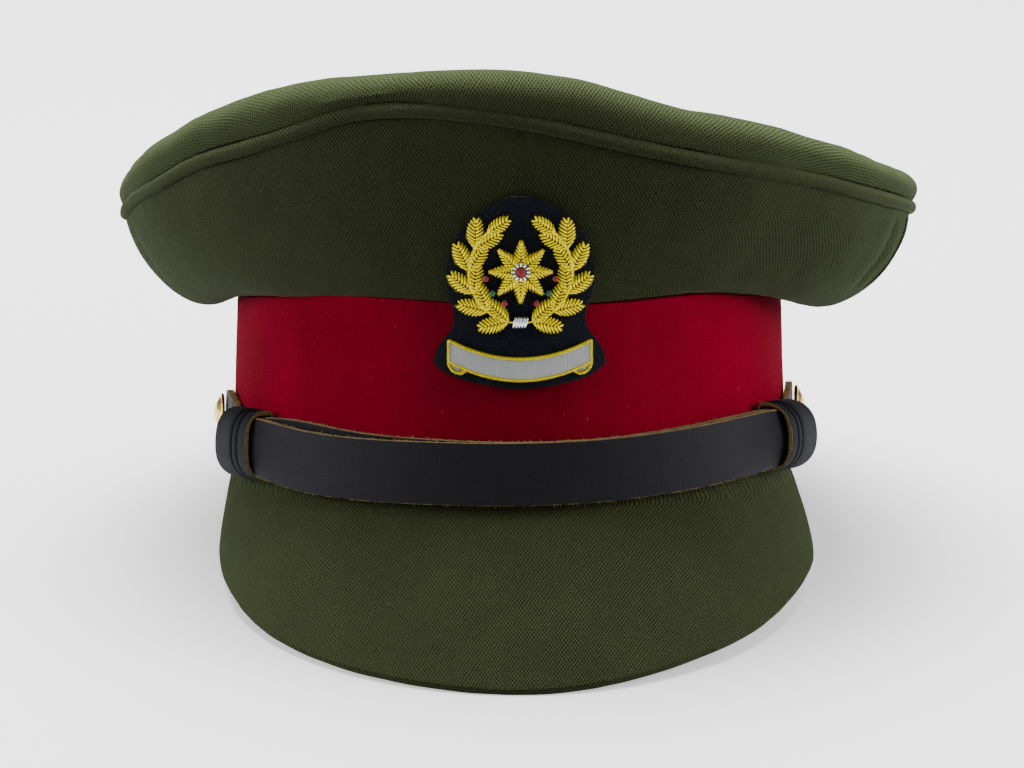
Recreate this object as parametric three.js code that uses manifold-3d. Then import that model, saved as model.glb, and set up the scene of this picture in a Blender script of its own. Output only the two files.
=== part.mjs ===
// A khaki officer's peaked service cap: a soft crown of four quarters and a rolled top, a corded
// seam, a red cloth band, a cloth-covered peak, a double leather chin strap with two sliding loops,
// two gilt side buttons, and an embroidered badge of a wreath and a star over a bare scroll.
// Units are millimetres. The cap is shaped in a frame of its own, whose plane z = 0 is the lower rim:
// the front is -Y, left and right are as seen from the front with the right at +X, and an angle runs
// from 0 at the front to 90 at the right.
// At the end the whole cap is tipped back, so that it stands on the tip of its peak and its rear rim.

import * as THREE from "three";
import { mergeVertices } from "three/addons/utils/BufferGeometryUtils.js";
import Module from "manifold-3d";

const manifoldLibrary = await Module();
manifoldLibrary.setup();

// Driving dimensions: the cloth's thickness, the gap left between two pieces, and how far a piece that
// is sewn on stands off the cloth
const CLOTH = 2.0;
const GAP = 0.3;
const SEWN = 0.4;
const BAND = { halfWidth: 86, halfDepth: 107.5, height: 56, taper: 1.7, wall: 2.5 };
const RIM = { archEnd: 105, rearStart: 162 };
const CROWN = { x: 3, y: 9, halfWidth: 123, halfDepth: 131, centreHeight: 96 };
const PIPING = { radius: 2.1, inset: 1.2, sides: 6 };
const WALL = { start: 0.25, springReach: 0.45, turnDepth: 0.3, turnDrop: 3, sliver: 0.09 };
const SIDE_SEAMS = { left: -84, right: 75 };
const PEAK = { thickness: 3.4, swell: 2.6, endAngle: 76, rootOut: 0.5, rootDepth: 0.6, pressed: 0.9 };
const PEAK_ENDS = { thickness: 1.2, thickening: 0.12, fullLength: 50 };
const PEAK_EDGE = { nose: 0.8, tuck: 1.3 };
const STRAP = { thickness: 2.2, halfHeight: 8.4, tipTurn: 3.2, tipWidth: 0.2 };
const KEEPER = { holeHalfDepth: 2.8, holeHalfHeight: 9.0, wall: 1.6 };
const SQUARENESS = { back: 12, shell: 4, hole: 3.6, face: 2.5 };
const BUTTON = { radius: 6.25, height: 3.3, angle: 84 };
const SIDES = {
  left: { sign: -1, keeperStart: 54.8, keeperEnd: 67, bulge: 1.7, buttonHeight: 19.4 },
  right: { sign: 1, keeperStart: 55.6, keeperEnd: 68.5, bulge: 2.5, buttonHeight: 21.6 },
};
const BADGE = { felt: 1.7, bridge: 2.0, bridgeHeight: 58.4, bridgeSpan: 7 };
const WREATH = { height: 66.5, radius: 14.4 };
const SCROLL = { halfWidth: 19.4, height: 38.9, smile: 4.9, halfHeight: 2.9, thickness: 1.1 };
const STEM = { from: 5, to: 142, half: 0.5, edge: 0.1, rise: 1.0 };
const LEAF = { length: 8.4, width: 4.6, lastLength: 7, lastWidth: 3.8, spread: 30 };
const LEAF_TURNS = [14, 40, 66, 92, 118];
const LEAF_SECTION = { edge: 0.5, ridge: 0.7, swell: 0.9 };
const STAR = { points: 8, outer: 8.7, inner: 4.7, edge: 0.5, rise: 2.4 };

// The crown around the head: height of the band's seam, how full the wall is below the cord, how far
// it springs up (or sags down) as it leaves the seam, height of the corded seam, and height of the
// soft roll above the cord.
const CROWN_ROWS = [
  { angle: -180, seam: 56.0, belly: 0.94, spring: -2, piping: 85.0, roll: 13.0 },
  { angle: -140, seam: 56.0, belly: 0.94, spring: -3, piping: 83.5, roll: 13.0 },
  { angle: -110, seam: 55.6, belly: 0.96, spring: -6, piping: 81.0, roll: 14.0 },
  { angle: -86, seam: 55.5, belly: 0.96, spring: -13, piping: 80.5, roll: 13.6 },
  { angle: -72, seam: 56.4, belly: 0.95, spring: -5, piping: 86.0, roll: 14.8 },
  { angle: -60, seam: 57.4, belly: 0.94, spring: -1, piping: 91.2, roll: 16.4 },
  { angle: -54, seam: 57.9, belly: 0.94, spring: 0, piping: 95.5, roll: 15.6 },
  { angle: -48, seam: 58.2, belly: 0.94, spring: 2, piping: 98.3, roll: 16.0 },
  { angle: -42, seam: 58.8, belly: 0.94, spring: 5, piping: 100.6, roll: 17.0 },
  { angle: -34, seam: 59.0, belly: 0.94, spring: 8, piping: 104.7, roll: 14.8 },
  { angle: -29, seam: 58.9, belly: 0.94, spring: 9, piping: 107.8, roll: 12.2 },
  { angle: -24, seam: 58.7, belly: 0.94, spring: 11, piping: 110.8, roll: 10.8 },
  { angle: -17, seam: 58.1, belly: 0.94, spring: 13, piping: 111.5, roll: 11.3 },
  { angle: -10, seam: 57.6, belly: 0.94, spring: 14, piping: 110.7, roll: 12.8 },
  { angle: 0, seam: 57.2, belly: 0.94, spring: 14, piping: 107.7, roll: 14.4 },
  { angle: 8, seam: 56.9, belly: 0.94, spring: 13, piping: 104.0, roll: 15.9 },
  { angle: 20, seam: 57.6, belly: 0.94, spring: 8, piping: 98.6, roll: 14.6 },
  { angle: 40, seam: 59.2, belly: 0.95, spring: 0, piping: 92.5, roll: 14.0 },
  { angle: 60, seam: 57.4, belly: 1.00, spring: -8, piping: 86.1, roll: 13.4 },
  { angle: 82, seam: 56.9, belly: 1.05, spring: -20, piping: 82.4, roll: 12.3 },
  { angle: 110, seam: 56.0, belly: 0.98, spring: -7, piping: 81.5, roll: 12.5 },
  { angle: 140, seam: 55.8, belly: 0.94, spring: -4, piping: 83.0, roll: 13.0 },
  { angle: 180, seam: 56.0, belly: 0.94, spring: -2, piping: 85.0, roll: 13.0 },
];

// The roll of the crown's top, from the cord up, over and in: distance in from the cord, and
// height as a share of the roll. Further in, the cloth hangs as a shallow dish.
const ROLL_ROWS = [
  { inward: 0.3, share: 0.17 },
  { inward: -1.3, share: 0.4 },
  { inward: -0.6, share: 0.66 },
  { inward: 2.2, share: 0.86 },
  { inward: 5.8, share: 0.97 },
  { inward: 11.0, share: 1.0 },
  { inward: 19.0, share: 0.95 },
];
const DISH = { shares: [0.7, 0.5, 0.28, 0], steepness: 1.6, lip: 0.15 };

// The peak: height of the rim that it hangs from, height of its edge, and how far the edge stands
// out from the band
const PEAK_ROWS = [
  { angle: -76, root: 4.6, edge: 3.0, reach: 1.4 },
  { angle: -72, root: 4.6, edge: -12.0, reach: 5.9 },
  { angle: -66, root: 4.6, edge: -20.4, reach: 9.7 },
  { angle: -60, root: 4.5, edge: -24.8, reach: 12.8 },
  { angle: -48, root: 2.8, edge: -31.6, reach: 18.8 },
  { angle: -36, root: 1.4, edge: -37.2, reach: 25.4 },
  { angle: -24, root: 0.9, edge: -41.6, reach: 31.0 },
  { angle: -12, root: 0.6, edge: -44.6, reach: 35.0 },
  { angle: 0, root: 0.5, edge: -46.2, reach: 36.6 },
  { angle: 12, root: 1.0, edge: -43.8, reach: 34.4 },
  { angle: 24, root: 2.2, edge: -39.3, reach: 29.6 },
  { angle: 36, root: 3.4, edge: -34.6, reach: 24.2 },
  { angle: 48, root: 4.3, edge: -29.2, reach: 18.6 },
  { angle: 60, root: 4.6, edge: -24.2, reach: 13.8 },
  { angle: 66, root: 4.6, edge: -21.8, reach: 12.0 },
  { angle: 72, root: 4.6, edge: -14.5, reach: 8.6 },
  { angle: 76, root: 4.6, edge: 3.0, reach: 1.6 },
];

// The chin strap's two leathers: heights of their middles, and how far the inner one stands off
// the band, which is more where the loops pass behind it
const STRAP_ROWS = [
  { angle: -70, top: 13.2, under: 13.2, stand: 2.5 },
  { angle: -54, top: 13.6, under: 13.7, stand: 2.5 },
  { angle: -48, top: 12.4, under: 14.1, stand: 1.8 },
  { angle: -42, top: 11.2, under: 13.4, stand: 1.0 },
  { angle: -30, top: 10.3, under: 11.5, stand: 0.5 },
  { angle: -16, top: 10.1, under: 10.6, stand: 0.4 },
  { angle: 0, top: 10.1, under: 10.1, stand: 0.4 },
  { angle: 16, top: 10.9, under: 10.9, stand: 0.4 },
  { angle: 34, top: 13.1, under: 13.2, stand: 0.8 },
  { angle: 45, top: 14.7, under: 14.8, stand: 1.5 },
  { angle: 56, top: 15.8, under: 15.8, stand: 2.5 },
  { angle: 70, top: 14.9, under: 14.9, stand: 2.5 },
];

// A strap's end beyond its loop, on to the button: share of the way, width against the strap's, and
// share of the climb to the button's height
const TAB_ROWS = [
  { share: 0, width: 1, climb: 0 },
  { share: 0.35, width: 1, climb: 0.35 },
  { share: 0.7, width: 0.94, climb: 0.85 },
  { share: 1, width: 0.86, climb: 1 },
];

// The strap's end twists as it settles on the band: the share of the way at which its lower edge, its
// middle and its upper edge lie on the cloth. Beyond the button it ends round: shares of the way on.
const SETTLED_SHARES = [0.75, 0.7, 0.25];
const TIP_SHARES = [0.56, 0.88, 1];

// The soft hollows in the front of the crown's wall: the share of the way up at their middle and how
// far they spread from it, then where each is, how wide and how deep
const HOLLOW = { middle: 0.45, spread: 0.24 };
const HOLLOW_ROWS = [
  { angle: 37, width: 13, depth: 2.6 },
  { angle: -42, width: 12, depth: 1.4 },
];

// A side button's section, as shares of its radius and its height
const BUTTON_ROWS = [
  { radius: 0, height: 0 },
  { radius: 0.93, height: 0 },
  { radius: 1, height: 0.12 },
  { radius: 1, height: 0.3 },
  { radius: 0.9, height: 0.36 },
  { radius: 0.72, height: 0.62 },
  { radius: 0.45, height: 0.87 },
  { radius: 0.18, height: 0.98 },
  { radius: 0, height: 1 },
];

// A leaf's outline: share of the way along it, and half width against its widest
const LEAF_ROWS = [
  { along: 0, half: 0.25 },
  { along: 0.35, half: 1 },
  { along: 0.7, half: 0.8 },
  { along: 1, half: 0.1 },
];

// The badge's felt, from its foot up: height, and half width
const FELT_ROWS = [
  { height: 33.4, half: 3.0 },
  { height: 34.8, half: 12.0 },
  { height: 37.2, half: 20.6 },
  { height: 40.5, half: 23.6 },
  { height: 44.5, half: 23.2 },
  { height: 47.6, half: 20.6 },
  { height: 51.4, half: 17.4 },
  { height: 56.2, half: 17.8 },
  { height: 61.6, half: 19.7 },
  { height: 66.5, half: 20.4 },
  { height: 73.0, half: 19.4 },
  { height: 79.0, half: 16.0 },
  { height: 84.0, half: 10.6 },
  { height: 87.6, half: 3.4 },
];

// Colours
const COLOURS = {
  khaki: 0x3a3d27,
  khakiCord: 0x2c2f1d,
  red: 0x7c0418,
  leather: 0x231f20,
  gilt: 0xc79a2e,
  felt: 0x0f1420,
  satin: 0xb9bcbc,
  bullion: 0xb39a1c,
};

const radians = THREE.MathUtils.degToRad;

// The value of a column where the key column has a value, on a smooth curve through the rows
function readRows(rows, column, value, key = "angle") {
  const last = rows.length - 1;
  const clamped = THREE.MathUtils.clamp(value, rows[0][key], rows[last][key]);
  const found = rows.findIndex((row) => row[key] > clamped);
  const after = found < 0 ? last : found;
  const before = after - 1;
  const span = rows[after][key] - rows[before][key];
  const slopeAt = (i) => {
    const low = rows[Math.max(i - 1, 0)];
    const high = rows[Math.min(i + 1, last)];
    return (high[column] - low[column]) / (high[key] - low[key]);
  };
  const t = (clamped - rows[before][key]) / span;
  const endWeight = t * t * (3 - 2 * t);
  const startSlope = t * (1 - t) * (1 - t) * span * slopeAt(before);
  const endSlope = t * t * (t - 1) * span * slopeAt(after);
  return rows[before][column] * (1 - endWeight) + rows[after][column] * endWeight + startSlope + endSlope;
}

// Evenly spread numbers from the first to the last
function spread(first, last, steps) {
  return Array.from({ length: steps + 1 }, (_, i) => first + ((last - first) * i) / steps);
}

// A closed body from loops of points. Each loop has its outer points and then its inner points in
// reverse, so that an end of the body closes as a strip. A ring joins its last loop to its first.
function bodyFromLoops(loops, ring = false) {
  const count = loops[0].length;
  const triangles = [];
  const pairs = ring ? loops.length : loops.length - 1;
  for (let i = 0; i < pairs; i++) {
    const near = i * count;
    const far = ((i + 1) % loops.length) * count;
    for (let j = 0; j < count; j++) {
      const k = (j + 1) % count;
      triangles.push([near + j, near + k, far + k], [near + j, far + k, far + j]);
    }
  }
  if (!ring) {
    const end = (loops.length - 1) * count;
    for (let j = 0; j < count / 2 - 1; j++) {
      const across = count - 1 - j;
      triangles.push([j, across, across - 1], [j, across - 1, j + 1]);
      triangles.push([end + j, end + across - 1, end + across], [end + j, end + j + 1, end + across - 1]);
    }
  }
  return bodyFromTriangles(loops.flat(), triangles);
}

// Points and triangles as a geometry whose doubled points are merged and whose faces point out
function bodyFromTriangles(points, triangles) {
  const loose = new THREE.BufferGeometry();
  loose.setAttribute("position", new THREE.Float32BufferAttribute(points.flatMap((p) => p.toArray()), 3));
  loose.setIndex(triangles.flat());
  const merged = mergeVertices(loose, 1e-4);
  const position = merged.getAttribute("position");
  const corner = (i) => new THREE.Vector3().fromBufferAttribute(position, i);
  const kept = [];
  let volume = 0;
  for (let i = 0; i < merged.index.count; i += 3) {
    const [a, b, c] = [0, 1, 2].map((k) => merged.index.getX(i + k));
    if (a === b || b === c || c === a) continue;
    kept.push([a, b, c]);
    volume += corner(a).dot(corner(b).cross(corner(c)));
  }
  merged.setIndex(kept.flatMap(([a, b, c]) => (volume > 0 ? [a, b, c] : [a, c, b])));
  merged.computeVertexNormals();
  return merged;
}

// A line moved sideways by a distance, to the left of its own direction
function shiftLine(line, distance) {
  return line.map((point, i) => {
    const before = line[Math.max(i - 1, 0)];
    const after = line[Math.min(i + 1, line.length - 1)];
    const along = after.clone().sub(before).normalize();
    return new THREE.Vector2(point.x - along.y * distance, point.y + along.x * distance);
  });
}

// A point on an oval at an angle, and the level direction that points straight out of it there
function ovalPoint(oval, angle) {
  const sine = Math.sin(radians(angle));
  const cosine = Math.cos(radians(angle));
  return new THREE.Vector2((oval.x ?? 0) + oval.halfWidth * sine, (oval.y ?? 0) - oval.halfDepth * cosine);
}

function ovalNormal(oval, angle) {
  const sine = Math.sin(radians(angle));
  const cosine = Math.cos(radians(angle));
  return new THREE.Vector2(sine / oval.halfWidth, -cosine / oval.halfDepth).normalize();
}

function bandOval(height) {
  const narrowing = (BAND.taper * height) / BAND.height;
  return { halfWidth: BAND.halfWidth - narrowing, halfDepth: BAND.halfDepth - narrowing };
}

// A point off the band's outer face
function offBand(angle, height, distance) {
  const oval = bandOval(height);
  const spot = ovalPoint(oval, angle).addScaledVector(ovalNormal(oval, angle), distance);
  return new THREE.Vector3(spot.x, spot.y, height);
}

// The lower rim follows the peak's root, arches a little over the ears and comes down at the rear
function rimHeight(angle) {
  const fall = THREE.MathUtils.smoothstep(Math.abs(angle), RIM.archEnd, RIM.rearStart);
  return readRows(PEAK_ROWS, "root", angle) * (1 - fall);
}

// The cap's rest: it tips back about the tip of its peak and the rear of its rim. Where the cloth
// meets the surface, it is pressed flat.
const tip = peakLine(0).inner.at(-1);
const tipFront = -BAND.halfDepth - tip.x;
const restTilt = Math.atan2(-tip.y, BAND.halfDepth - tipFront);
const restLift = BAND.halfDepth * Math.sin(restTilt) - PEAK.pressed;
const restPlace = new THREE.Matrix4().makeRotationX(-restTilt).setPosition(0, 0, restLift);
const restBack = restPlace.clone().invert();

function pressFlat(point) {
  const rested = point.clone().applyMatrix4(restPlace);
  rested.z = Math.max(rested.z, 0);
  return rested.applyMatrix4(restBack);
}

// Band: one ring of red cloth, as tall as the seam above it allows
function makeBand() {
  const loops = spread(-180, 180, 60).slice(0, -1).map((angle) => {
    const foot = rimHeight(angle);
    const head = readRows(CROWN_ROWS, "seam", angle) - GAP;
    const heights = spread(foot, head, 2);
    const outer = heights.map((height) => pressFlat(offBand(angle, height, 0)));
    const inner = heights.map((height) => pressFlat(offBand(angle, height, -BAND.wall)));
    return [...outer, ...inner.reverse()];
  });
  return bodyFromLoops(loops, true);
}

// Crown wall: the line that the cloth takes at an angle, from the band's seam out and up to the cord
function wallSection(angle) {
  const seam = readRows(CROWN_ROWS, "seam", angle);
  const spring = readRows(CROWN_ROWS, "spring", angle);
  const belly = readRows(CROWN_ROWS, "belly", angle);
  const head = readRows(CROWN_ROWS, "piping", angle) - PIPING.radius - GAP;
  const foot = ovalPoint(bandOval(seam), angle);
  const rim = ovalPoint(CROWN, angle).addScaledVector(ovalNormal(CROWN, angle), -PIPING.inset);
  const outward = rim.clone().sub(foot);
  const reach = outward.length();
  const curve = new THREE.CubicBezierCurve(
    new THREE.Vector2(WALL.start, seam),
    new THREE.Vector2(reach * WALL.springReach, seam + spring),
    new THREE.Vector2(reach * belly, head - WALL.turnDepth * (head - seam) - WALL.turnDrop),
    new THREE.Vector2(reach, head),
  );
  return { foot, outward: outward.normalize(), curve };
}

// How deep the cloth is pushed in, at an angle and a share of the way up the wall
function hollow(angle, share) {
  const atShare = Math.exp(-(((share - HOLLOW.middle) / HOLLOW.spread) ** 2));
  const depths = HOLLOW_ROWS.map((row) => row.depth * Math.exp(-(((angle - row.angle) / row.width) ** 2)));
  return atShare * depths.reduce((sum, depth) => sum + depth, 0);
}

function makeQuarter(fromAngle, toAngle, steps) {
  const shares = [0, 0.1, 0.22, 0.36, 0.52, 0.68, 0.84, 1];
  const loops = spread(fromAngle + WALL.sliver, toAngle - WALL.sliver, steps).map((angle) => {
    const turn = angle > 180 ? angle - 360 : angle;
    const { foot, outward, curve } = wallSection(turn);
    const smooth = shares.map((share) => curve.getPoint(share));
    const pushed = shiftLine(smooth, 1);
    const outer = smooth.map((point, i) => {
      return point.clone().lerp(pushed[i], hollow(turn, shares[i]));
    });
    const inner = shiftLine(outer, CLOTH);
    inner[0].set(-CLOTH, outer[0].y);
    const place = (point) => {
      const spot = foot.clone().addScaledVector(outward, point.x);
      return new THREE.Vector3(spot.x, spot.y, point.y);
    };
    return [...outer.map(place), ...inner.map(place).reverse()];
  });
  return bodyFromLoops(loops);
}

// Corded seam: a round cloth-covered cord around the crown's widest line
function makePiping() {
  const loops = spread(-180, 180, 72).slice(0, -1).map((angle) => {
    const normal = ovalNormal(CROWN, angle);
    const middle = ovalPoint(CROWN, angle).addScaledVector(normal, -PIPING.inset);
    const height = readRows(CROWN_ROWS, "piping", angle);
    return spread(0, 360, PIPING.sides).slice(0, -1).map((turn) => {
      const spot = middle.clone().addScaledVector(normal, PIPING.radius * Math.cos(radians(turn)));
      return new THREE.Vector3(spot.x, spot.y, height + PIPING.radius * Math.sin(radians(turn)));
    });
  });
  return bodyFromLoops(loops, true);
}

// Crown top: the roll above the cord and the dish inside it, one sheet of cloth
function makeCrownTop() {
  const centre = new THREE.Vector2(CROWN.x, CROWN.y);
  const loops = spread(-180, 180, 54).slice(0, -1).map((angle) => {
    const piping = readRows(CROWN_ROWS, "piping", angle);
    const roll = readRows(CROWN_ROWS, "roll", angle);
    const rim = ovalPoint(CROWN, angle);
    const radius = rim.distanceTo(centre);
    const foot = piping + PIPING.radius + GAP;
    const rolled = ROLL_ROWS.map(({ inward, share }, i) => {
      return new THREE.Vector2(-inward, i === 0 ? foot : piping + roll * share);
    });
    const shoulder = rolled.at(-1);
    const dished = DISH.shares.map((share) => {
      const height = CROWN.centreHeight + (shoulder.y - CROWN.centreHeight) * share ** DISH.steepness;
      return new THREE.Vector2(shoulder.x - (radius + shoulder.x) * (1 - share), height);
    });
    dished[0].y -= DISH.lip * roll;
    const outer = [...rolled, ...dished];
    const inner = shiftLine(outer, CLOTH);
    inner[0].y = foot;
    inner.at(-1).set(outer.at(-1).x, CROWN.centreHeight - CLOTH);
    const place = (point) => {
      const spot = centre.clone().lerp(rim, (radius + point.x) / radius);
      return new THREE.Vector3(spot.x, spot.y, point.y);
    };
    return [...outer.map(place), ...inner.map(place).reverse()];
  });
  return bodyFromLoops(loops, true);
}

// Peak: at an angle, the lines of its upper face, from under the band out and down and round the
// edge, and of its lower face. x is the distance out from the band, y the height.
function peakLine(angle) {
  const edge = readRows(PEAK_ROWS, "edge", angle);
  const reach = readRows(PEAK_ROWS, "reach", angle);
  const root = rimHeight(angle) - GAP;
  const slope = new THREE.Vector2(reach, edge - root);
  const length = slope.length();
  const along = slope.clone().normalize();
  const up = new THREE.Vector2(-along.y, along.x);
  const swell = PEAK.swell * Math.min(length / PEAK_ENDS.fullLength, 1);
  const thickness = Math.min(PEAK.thickness, PEAK_ENDS.thickness + length * PEAK_ENDS.thickening);
  const pointAt = (share, depth) => {
    const rise = swell * 4 * share * (1 - share) - depth;
    return new THREE.Vector2(PEAK.rootOut, root).addScaledVector(slope, share).addScaledVector(up, rise);
  };
  const shares = [0.12, 0.28, 0.46, 0.64, 0.82];
  const hidden = new THREE.Vector2(-BAND.wall, root);
  const nose = pointAt(1, thickness / 2).addScaledVector(along, PEAK_EDGE.nose);
  const tuck = pointAt(1, thickness).addScaledVector(along, -PEAK_EDGE.tuck);
  return {
    outer: [hidden, pointAt(0, 0), ...shares.map((share) => pointAt(share, 0)), pointAt(1, 0), nose],
    inner: [
      hidden.clone().setY(root - PEAK.rootDepth * thickness),
      pointAt(0.05, thickness),
      ...shares.map((share) => pointAt(share, thickness)),
      tuck,
      pointAt(1, thickness),
    ],
  };
}

function makePeak() {
  const oval = bandOval(0);
  const loops = spread(-PEAK.endAngle, PEAK.endAngle, 34).map((angle) => {
    const root = ovalPoint(oval, angle);
    const normal = ovalNormal(oval, angle);
    const place = (point) => {
      const spot = root.clone().addScaledVector(normal, point.x);
      return pressFlat(new THREE.Vector3(spot.x, spot.y, point.y));
    };
    const { outer, inner } = peakLine(angle);
    return [...outer.map(place), ...inner.map(place).reverse()];
  });
  return bodyFromLoops(loops);
}

// One leather of the chin strap, across the front from its plain end inside the far loop, through
// the near loop and on as a narrowing tab to its own button
function makeStrap(column, near, far) {
  const layer = column === "top" ? STRAP.thickness + GAP : 0;
  const tabTip = BUTTON.angle + STRAP.tipTurn;
  const runTurns = spread(1 - far.keeperEnd, near.keeperEnd, 32);
  const tabTurns = spread(near.keeperEnd, BUTTON.angle, 7).slice(1);
  const endTurns = TIP_SHARES.map((share) => BUTTON.angle + share * STRAP.tipTurn);
  const loops = [...runTurns, ...tabTurns, ...endTurns].map((turn) => {
    const angle = turn * near.sign;
    const run = THREE.MathUtils.clamp((turn - near.keeperEnd) / (BUTTON.angle - near.keeperEnd), 0, 1);
    const past = THREE.MathUtils.clamp((turn - BUTTON.angle) / STRAP.tipTurn, 0, 1);
    const round = Math.max(Math.sqrt(1 - past ** 2), STRAP.tipWidth);
    const half = STRAP.halfHeight * readRows(TAB_ROWS, "width", run, "share") * round;
    const level = readRows(STRAP_ROWS, column, angle);
    const middle = level + (near.buttonHeight - level) * readRows(TAB_ROWS, "climb", run, "share");
    const stand = readRows(STRAP_ROWS, "stand", angle) + layer;
    const heights = [middle - half, middle, middle + half];
    const backs = SETTLED_SHARES.map((share) => {
      return stand + (SEWN - stand) * THREE.MathUtils.smoothstep(run, 0, share);
    });
    const outer = heights.map((height, i) => offBand(angle, height, backs[i] + STRAP.thickness));
    const inner = heights.map((height, i) => offBand(angle, height, backs[i]));
    return [...outer, ...inner.reverse()];
  });
  return bodyFromLoops(loops);
}

// A point of a rounded box outline at a turn, for a given squareness
function boxOutline(turn, halfWidth, halfHeight, squareness) {
  const along = (value) => Math.sign(value) * Math.abs(value) ** (2 / squareness);
  const x = halfWidth * along(Math.cos(radians(turn)));
  return new THREE.Vector2(x, halfHeight * along(Math.sin(radians(turn))));
}

// A sliding loop: one strip of leather round both straps, bulging outwards
function makeKeeper({ sign, keeperStart, keeperEnd, bulge }) {
  const turns = spread(keeperStart, keeperEnd, 2);
  const { holeHalfDepth, holeHalfHeight, wall } = KEEPER;
  const loops = spread(0, 360, 24).slice(0, -1).map((turn) => {
    const isFace = Math.cos(radians(turn)) > 0;
    const holeDepth = holeHalfDepth + (isFace ? bulge : 0);
    const hole = boxOutline(turn, holeDepth, holeHalfHeight, isFace ? SQUARENESS.hole : SQUARENESS.back);
    const shellSquareness = isFace ? SQUARENESS.face : SQUARENESS.shell;
    const shell = boxOutline(turn, holeDepth + wall, holeHalfHeight + wall, shellSquareness);
    const place = (point, angle) => {
      const level = readRows(STRAP_ROWS, "top", angle);
      const middle = readRows(STRAP_ROWS, "stand", angle) + STRAP.thickness + GAP / 2;
      return offBand(angle, level + point.y, middle + point.x);
    };
    const outer = turns.map((angle) => place(shell, angle * sign));
    const inner = turns.map((angle) => place(hole, angle * sign));
    return [...outer, ...inner.reverse()];
  });
  return bodyFromLoops(loops, true);
}

// A gilt domed side button with a plain rim, on its strap's tab
function makeButton() {
  const profile = BUTTON_ROWS.map(({ radius, height }) => {
    return new THREE.Vector2(radius * BUTTON.radius, height * BUTTON.height);
  });
  const lathe = new THREE.LatheGeometry(profile, 16);
  lathe.rotateX(Math.PI / 2);
  const position = lathe.getAttribute("position");
  const points = Array.from({ length: position.count }, (_, i) => {
    return new THREE.Vector3().fromBufferAttribute(position, i);
  });
  points.forEach((point) => {
    if (Math.hypot(point.x, point.y) < 1e-3) point.set(0, 0, point.z);
  });
  const triangles = [];
  for (let i = 0; i < lathe.index.count; i += 3) {
    triangles.push([lathe.index.getX(i), lathe.index.getX(i + 1), lathe.index.getX(i + 2)]);
  }
  return bodyFromTriangles(points, triangles);
}

// A point in front of the cap at a distance across and a height, off the band or the crown's wall.
// The stiff felt bridges the hollow at the seam.
function offFront(x, height, distance) {
  const bridge = BADGE.bridge * Math.exp(-(((height - BADGE.bridgeHeight) / BADGE.bridgeSpan) ** 2));
  let angle = THREE.MathUtils.radToDeg(Math.asin(x / BAND.halfWidth));
  let spot;
  for (let round = 0; round < 5; round++) {
    const { foot, outward, curve } = wallSection(angle);
    let low = 0;
    let high = 1;
    while (high - low > 1e-4) {
      const share = (low + high) / 2;
      if (curve.getPoint(share).y < height) low = share;
      else high = share;
    }
    const out = Math.max(curve.getPoint(low).x, 0);
    const onBand = height < curve.v0.y;
    spot = onBand ? ovalPoint(bandOval(height), angle) : foot.clone().addScaledVector(outward, out);
    angle += THREE.MathUtils.radToDeg((x - spot.x) / BAND.halfWidth);
  }
  spot.addScaledVector(ovalNormal(bandOval(height), angle), distance + bridge);
  return new THREE.Vector3(spot.x, spot.y, height);
}

const FELT_FACE = SEWN + BADGE.felt;
const STITCHED = FELT_FACE + GAP;

function makeFelt() {
  const loops = FELT_ROWS.map(({ height, half }) => {
    const across = spread(-half, half, 6);
    const outer = across.map((x) => offFront(x, height, FELT_FACE));
    const inner = across.map((x) => offFront(x, height, SEWN));
    return [...outer, ...inner.reverse()];
  });
  return bodyFromLoops(loops);
}

// The bare scroll: a satin ribbon in a shallow smile under the wreath
function makeScroll() {
  const loops = spread(-SCROLL.halfWidth, SCROLL.halfWidth, 20).map((x) => {
    const middle = SCROLL.height + SCROLL.smile * (x / SCROLL.halfWidth) ** 2;
    const heights = [middle - SCROLL.halfHeight, middle, middle + SCROLL.halfHeight];
    const outer = heights.map((height) => offFront(x, height, STITCHED + SCROLL.thickness));
    const inner = heights.map((height) => offFront(x, height, STITCHED));
    return [...outer, ...inner.reverse()];
  });
  return bodyFromLoops(loops);
}

// Bodies joined into one
function fuse(geometries) {
  const solids = geometries.map((geometry) => {
    const vertProperties = new Float32Array(geometry.getAttribute("position").array);
    const triVerts = new Uint32Array(geometry.index.array);
    return new manifoldLibrary.Manifold(new manifoldLibrary.Mesh({ numProp: 3, vertProperties, triVerts }));
  });
  const joined = solids.reduce((whole, solid) => whole.add(solid)).getMesh();
  const points = [];
  for (let i = 0; i < joined.vertProperties.length; i += joined.numProp) {
    points.push(new THREE.Vector3().fromArray(joined.vertProperties, i));
  }
  const triangles = [];
  for (let i = 0; i < joined.triVerts.length; i += 3) triangles.push([...joined.triVerts.slice(i, i + 3)]);
  return bodyFromTriangles(points, triangles);
}

// One padded leaf of the wreath, with a ridge along its middle
function makeLeaf(base, direction, length, width) {
  const aside = new THREE.Vector2(-direction.y, direction.x);
  const loops = LEAF_ROWS.map(({ along, half }) => {
    const middle = base.clone().addScaledVector(direction, along * length);
    const left = middle.clone().addScaledVector(aside, (half * width) / 2);
    const right = middle.clone().addScaledVector(aside, (-half * width) / 2);
    const ridge = STITCHED + LEAF_SECTION.ridge + LEAF_SECTION.swell * half;
    return [
      offFront(left.x, left.y, STITCHED + LEAF_SECTION.edge),
      offFront(middle.x, middle.y, ridge),
      offFront(right.x, right.y, STITCHED + LEAF_SECTION.edge),
      offFront(middle.x, middle.y, STITCHED),
    ];
  });
  return bodyFromLoops(loops);
}

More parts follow.
